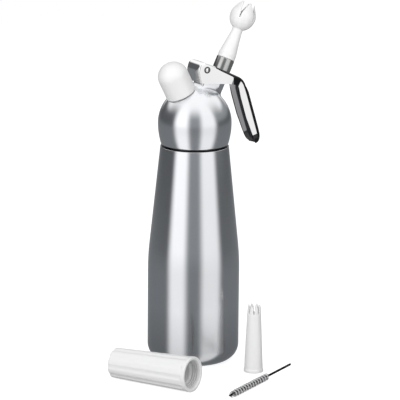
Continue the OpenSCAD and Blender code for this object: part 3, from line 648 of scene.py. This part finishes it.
def make_rivet():
    """The lever's pin, with a ringed head on each side."""
    pin = SPOUT @ Matrix.Translation((PIN.x, 0, PIN.y)) @ Matrix.Rotation(math.pi / 2, 4, "X")
    rod = [(0, -PLATE_HALF), (2.0, -PLATE_HALF), (2.0, PLATE_HALF), (0, PLATE_HALF)]
    steps = [(0, 0), (3.0, 0), (3.0, 0.3), (2.8, 0.5), (2.5, 0.5), (2.2, 0.1), (1.95, 0.1), (1.7, 0.5)]
    steps += [(1.5, 0.7), (0, 0.7)]
    head = [(r, PLATE_HALF + h) for r, h in steps]
    flip = [(r, -z) for r, z in head]
    turned = joined(lathe(head, 48), lathe(rod, 48), lathe(flip, 48))
    chrome_and_painted_dark = ["lever_chrome", "lever_back"]
    rivet = add_piece("lever_rivet", *turned, pin, "lever", "steel", "lever_pin", mats=chrome_and_painted_dark)
    rivet.visible_glossy = False
    back_to_pin = pin.inverted()
    # Painted reflection: each head's outer ring takes the dark chrome, its middle stays bright.
    for p in rivet.data.polygons:
        at = back_to_pin @ (p.center / MM)
        p.material_index = 1 if math.hypot(at.x, at.y) > 1.6 else 0


# ---- Springs
def make_spring(name, node, place, r, wire, sides, turns, low, height):
    """A coil on its seat at z = low."""
    n = 40 * turns
    path = [polar(r, 2 * math.pi * i * turns / n, low + height * i / n) for i in range(n + 1)]
    coil = add_piece(name, *tube(path, wire, sides), place, "head", "steel", node)
    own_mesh(coil)


def make_springs():
    make_spring("return_spring", "valve_spring", SPOUT, 4.6, 0.55, 12, 7, 38.05, 18.2)
    # The check spring stands between the plug and the ball, both placed from the inlet boss's flat
    flat = math.sqrt(DOME_R**2 - 12.1**2)
    seat = flat - 7.6
    ball = flat + 0.3 - (2.2 * math.sqrt(2) - 1.2) - 0.06
    height = ball - seat - 2.3
    make_spring("check_coil", "check_spring", INLET, 1.5, 0.2, 10, 3, seat + 0.2, height)


# ---- Holder: its skin, with the inside and the thread that show in its mouth
def make_holder():
    holder = softened("charger_holder", "holder_shell", 0.45, 4, "holder")
    holder.visible_glossy = False
    # Painted shade: the faces inside the bore take the darker copy of the white plastic.
    holder.data.materials.append(MATS["holder_painted_shade"])
    back_to_holder = HOLDER.inverted()
    for face in holder.data.polygons:
        at = back_to_holder @ (face.center / MM)
        if math.hypot(at.x, at.y) < 12.6 and -60 < at.z < -0.7:
            face.material_index = 1


def make_holder_thread():
    """A flat spiral on the step in the mouth, which runs on as a helix up to the mouth."""
    bore, pitch, wire = 9.5, 2.0, 0.6
    path = [polar(bore + (THREAD_R - bore) * i / 128, 2 * math.pi * i / 64, -HOLDER_STEP) for i in range(128)]
    for i in range(int(64 * (HOLDER_STEP - 1.6) / pitch)):
        path.append(polar(THREAD_R, 2 * math.pi * i / 64, -HOLDER_STEP + pitch * i / 64))
    thick = [wire * min(1, i / 30, (len(path) - 1 - i) / 30) + 0.02 for i in range(len(path))]
    # The thread takes the same painted shade as the bore.
    add_piece("holder_thread", *tube(path, thick, 6), HOLDER, "holder", "white_plastic", mats=["holder_painted_shade"])


# ---- Brush: a twisted wire that holds two rows of bristles, wound on as bundled loops
WIRE_LEN, WIRE_PITCH, BRUSH_FLOOR = 111.1, 3.4, 2.88
BRISTLES, LOBES, LOOP_STRANDS = 1900, 7.25, 7


def make_brush_wire():
    steps, strands = 600, []
    for side in (0, math.pi):
        path, thick = [], []
        for i in range(steps):
            z = 0.45 + WIRE_LEN * i / (steps - 1)
            path.append(polar(0.42 if 5 <= z <= 69 else 0.5, side + 2 * math.pi * z / WIRE_PITCH, z))
            thick.append((0.42 if z < 69 else 0.56) * min(1, 0.35 + i / 6, 0.35 + (steps - 1 - i) / 6))
        strands.append(tube(path, thick, 7))
    add_piece("brush_core", *joined(*strands), BRUSH, "brush", "brush_steel", "brush_wire")


def bristle(i):
    """The corners of one three-sided bristle: three at its root, then three at its tip."""
    t = rng.random()
    middle = Vector((0, 0, 5.4 + 63.2 * t))
    a = 2 * math.pi * LOBES * t + (i % 2) * math.pi + rng.gauss(0, 0.3)
    out = Vector((math.cos(a), math.sin(a), rng.gauss(0, 0.06))).normalized()
    length = 2.75 * (0.9 + 0.1 * rng.random()) * min(1, 0.8 + 6 * min(t, 1 - t))
    root, tip = middle + out * 0.5, middle + out * length
    if tip.x > BRUSH_FLOOR - 0.04:
        tip.x = BRUSH_FLOOR - 0.04 - 0.05 * rng.random()
    side = out.cross(Vector((0, 0, 1))).normalized()
    up = out.cross(side)
    corners = [math.cos(2 * math.pi * k / 3) * side + math.sin(2 * math.pi * k / 3) * up for k in range(3)]
    return [p + w * c for p, w in ((root, 0.075), (tip, 0.06)) for c in corners]


def loop_strand(strand):
    """One strand of the loops, which runs round the brush from end to end."""
    lag, wide, high = rng.gauss(0, 0.28), 2.95 + 0.2 * rng.random(), 0.5 * (strand - 3) / 3
    steps, path = 640, []
    for i in range(steps):
        t = i / (steps - 1)
        a = 2 * math.pi * 2 * LOBES * t + lag
        r = wide - 0.25 * abs(math.sin(5 * a + strand)) - 0.35 * max(0, 1 - 14 * t, 14 * t - 13)
        path.append((min(r * math.cos(a), 2.7), r * math.sin(a), 5.2 + 62.9 * t + high))
    return tube(path, 0.15, 5)


def make_brush():
    make_brush_wire()
    verts, faces = [], []
    for i in range(BRISTLES):
        base = len(verts)
        verts += bristle(i)
        faces += [(base + k, base + (k + 1) % 3, base + 3 + (k + 1) % 3, base + 3 + k) for k in range(3)]
        faces += [(base + 2, base + 1, base), (base + 3, base + 4, base + 5)]
    hoops = [loop_strand(strand) for strand in range(LOOP_STRANDS)]
    kind = "bristle_plastic"
    # The loops' paler colour is painted highlight against the dark bristles.
    add_piece("brush_loops", *joined(*hoops), BRUSH, "brush", kind, mats=["brush_loops"])
    add_piece("brush_filaments", verts, faces, BRUSH, "brush", kind, "brush_bristles", smooth=False)


make_bottle()
softened("head", "head_casting", 0.5, 7, "head", snap_dome, neck_foot)
make_lever()
make_small_turned()
make_rivet()
make_springs()
softened("tulip_nozzle", "tulip_nozzle_shell", 0.3, 5, "nozzle")
softened("inlet_cap", "inlet_cap_shell", 0.4, 4, "cap")
make_holder()
softened("spare_nozzle", "spare_nozzle_shell", 0.3, 5, "spare")
make_holder_thread()
make_brush()


# ---- Studio: pale floor, soft lamps and a surround that shows in the metal
def make_floor():
    """Paper that shows white to the camera, keeps the object's shadow and isn't seen in the metal."""
    mesh = bpy.data.meshes.new("floor")
    s = 1.6
    mesh.from_pydata([(-s, -s, 0), (s, -s, 0), (s, s, 0), (-s, s, 0)], [], [(0, 1, 2, 3)])
    floor = linked(bpy.data.objects.new("floor", mesh))
    floor.location.z = -0.0004
    floor.visible_glossy = False
    mat = bpy.data.materials.new("floor_paper")
    mat.use_nodes = True
    nt = mat.node_tree
    nt.nodes.clear()
    out = nt.nodes.new("ShaderNodeOutputMaterial")
    add = nt.nodes.new("ShaderNodeAddShader")
    paper = nt.nodes.new("ShaderNodeBsdfDiffuse")
    paper.inputs["Color"].default_value = (0.6, 0.6, 0.6, 1)
    glow = nt.nodes.new("ShaderNodeEmission")
    ray = nt.nodes.new("ShaderNodeLightPath")
    level = nt.nodes.new("ShaderNodeMath")
    level.operation = "MULTIPLY"
    level.inputs[1].default_value = 0.8
    nt.links.new(ray.outputs["Is Camera Ray"], level.inputs[0])
    nt.links.new(level.outputs[0], glow.inputs["Strength"])
    nt.links.new(paper.outputs[0], add.inputs[0])
    nt.links.new(glow.outputs[0], add.inputs[1])
    nt.links.new(add.outputs[0], out.inputs["Surface"])
    mesh.materials.append(mat)


# The room that the metal shows: a soft box on each side of the camera, and dim walls elsewhere.
# A box reaches from its first to its last direction, in degrees from the front.
LEFT_BOX, RIGHT_BOX = (-65, -20), (20, 70)
BOX_EDGE = 10  # how far a box's edge fades, to each side
BACK_WALL = 140  # where the back wall begins, to each side
# Levels of the left box, right box, front, sides and back. The camera looks down a little, so
# LOW is seen by upright walls, HIGH by walls that lean back, and FLOOR by walls that lean forward.
LOW = (1.0, 0.9, 0.2, 0.2, 0.3)
HIGH = (1.3, 1.1, 0.3, 0.1, 0.3)
FLOOR = (1.1, 1.0, 0.25, 0.2, 0.3)
TOP_LEVEL = 1.4


def make_world():
    """White to the camera, plain light to matt surfaces, and a banded room to the metal."""
    world = bpy.data.worlds.new("studio")
    bpy.context.scene.world = world
    world.use_nodes = True
    nt = world.node_tree
    nt.nodes.clear()
    link = nt.links.new

    def math_node(op, a, b=None):
        node = nt.nodes.new("ShaderNodeMath")
        node.operation = op
        for socket, value in zip(node.inputs, (a, b)):
            if value is None:
                continue
            if isinstance(value, (int, float)):
                socket.default_value = value
            else:
                link(value, socket)
        return node.outputs[0]

    coord = nt.nodes.new("ShaderNodeTexCoord")
    direction = coord.outputs["Generated"]

    def dot(axis):
        node = nt.nodes.new("ShaderNodeVectorMath")
        node.operation = "DOT_PRODUCT"
        node.inputs[1].default_value = axis
        link(direction, node.inputs[0])
        return node.outputs["Value"]

    def smooth(value, low, high, to_low=0.0, to_high=1.0):
        node = nt.nodes.new("ShaderNodeMapRange")
        node.interpolation_type = "SMOOTHSTEP"
        for key, number in (("From Min", low), ("From Max", high), ("To Min", to_low), ("To Max", to_high)):
            node.inputs[key].default_value = number
        link(value, node.inputs["Value"])
        return node.outputs["Result"]

    def bands(levels):
        """The two soft boxes with soft edges, and the dim walls, at one height."""
        left, right, ahead_level, side, back = levels
        node = nt.nodes.new("ShaderNodeValToRGB")
        node.color_ramp.interpolation = "EASE"
        stops = node.color_ramp.elements
        while len(stops) > 1:
            stops.remove(stops[0])
        walls = [(-180, back), (-BACK_WALL, side)]
        levels_along = (side, left, ahead_level, right, side)
        for edge, before, after in zip(LEFT_BOX + RIGHT_BOX, levels_along, levels_along[1:]):
            walls += [(edge - BOX_EDGE, before), (edge + BOX_EDGE, after)]
        walls += [(BACK_WALL, side), (180, back)]
        for i, (deg, level) in enumerate(walls):
            place = (deg + 180) / 360
            stop = stops[0] if i == 0 else stops.new(place)
            stop.position = place
            grey = level / TOP_LEVEL
            cool = 0.045 * clamp((0.7 - level) / 0.35)
            stop.color = (grey * (1 - cool), grey, min(1, grey * (1.005 + cool)), 1)
        link(share, node.inputs["Fac"])
        return node.outputs["Color"]

    def blend(factor, first, second):
        node = nt.nodes.new("ShaderNodeMix")
        node.data_type = "RGBA"
        link(factor, node.inputs["Factor"])
        for key, value in (("A", first), ("B", second)):
            if isinstance(value, tuple):
                node.inputs[key].default_value = value
            else:
                link(value, node.inputs[key])
        return node.outputs["Result"]

    angle = math_node("ARCTAN2", dot(tuple(RIGHT)), dot(tuple(TOWARD)))
    share = math_node("MULTIPLY_ADD", angle, 1 / (2 * math.pi))
    share.node.inputs[2].default_value = 0.5
    height = dot((0, 0, 1))
    white = (0.82, 0.82, 0.82, 1)
    ahead, beside = dot(tuple(TOWARD)), dot(tuple(RIGHT))
    wall = blend(smooth(height, -0.2, -0.03), bands(LOW), bands(HIGH))
    room = blend(smooth(height, -0.3, -0.42), wall, bands(FLOOR))
    # A soft grey at the front right above the horizon, a pale patch behind, a white ceiling
    lift = math_node("MULTIPLY", smooth(height, -0.02, 0.16), smooth(beside, 0.1, 0.4, 0.0, 0.75))
    lift = math_node("MULTIPLY", lift, smooth(ahead, 0.42, 0.2))
    room = blend(lift, room, (0.25, 0.26, 0.265, 1))
    behind = math_node("MULTIPLY", smooth(height, 0.0, 0.12), smooth(ahead, -0.82, -0.93, 0.0, 0.9))
    room = blend(behind, room, (0.6, 0.6, 0.6, 1))
    room = blend(smooth(height, 0.3, 0.95), room, white)
    crown = math_node("MULTIPLY", smooth(height, 0.28, 0.5), smooth(ahead, 0.1, -0.5, 0.0, 0.9))
    room = blend(crown, room, white)
    out = nt.nodes.new("ShaderNodeOutputWorld")
    ray = nt.nodes.new("ShaderNodeLightPath")
    plain = nt.nodes.new("ShaderNodeBackground")
    shown = nt.nodes.new("ShaderNodeBackground")
    studio = nt.nodes.new("ShaderNodeBackground")
    link(smooth(dot(tuple(TOWARD)), -0.5, 1.0, 0.24, 0.98), plain.inputs["Strength"])
    link(room, studio.inputs["Color"])
    plain.inputs["Color"].default_value = shown.inputs["Color"].default_value = (1, 1, 1, 1)
    studio.inputs["Strength"].default_value = TOP_LEVEL
    first, second = nt.nodes.new("ShaderNodeMixShader"), nt.nodes.new("ShaderNodeMixShader")
    link(ray.outputs["Is Glossy Ray"], first.inputs[0])
    link(plain.outputs[0], first.inputs[1])
    link(studio.outputs[0], first.inputs[2])
    see = math_node("MAXIMUM", ray.outputs["Is Camera Ray"], ray.outputs["Is Transmission Ray"])
    link(see, second.inputs[0])
    link(first.outputs[0], second.inputs[1])
    link(shown.outputs[0], second.inputs[2])
    link(second.outputs[0], out.inputs["Surface"])


def make_lamp(name, place, aim, size, power):
    data = bpy.data.lights.new(name, "AREA")
    data.shape, data.size, data.energy = "DISK", size, power
    lamp = linked(bpy.data.objects.new(name, data))
    lamp.location = place
    lamp.rotation_euler = (Vector(aim) - Vector(place)).to_track_quat("-Z", "Y").to_euler()
    lamp.visible_glossy = False


make_floor()
make_world()
front, aim, lamp_size = TOWARD * 1.3, (0, 0, 0.12), 1.2
make_lamp("key", tuple(front - RIGHT * 0.9 + Vector((0, 0, 1.05))), aim, lamp_size, 12)
make_lamp("fill", tuple(front + RIGHT * 1.2 + Vector((0, 0, 0.9))), aim, lamp_size, 7)
bpy.context.scene.view_settings.view_transform = "Standard"
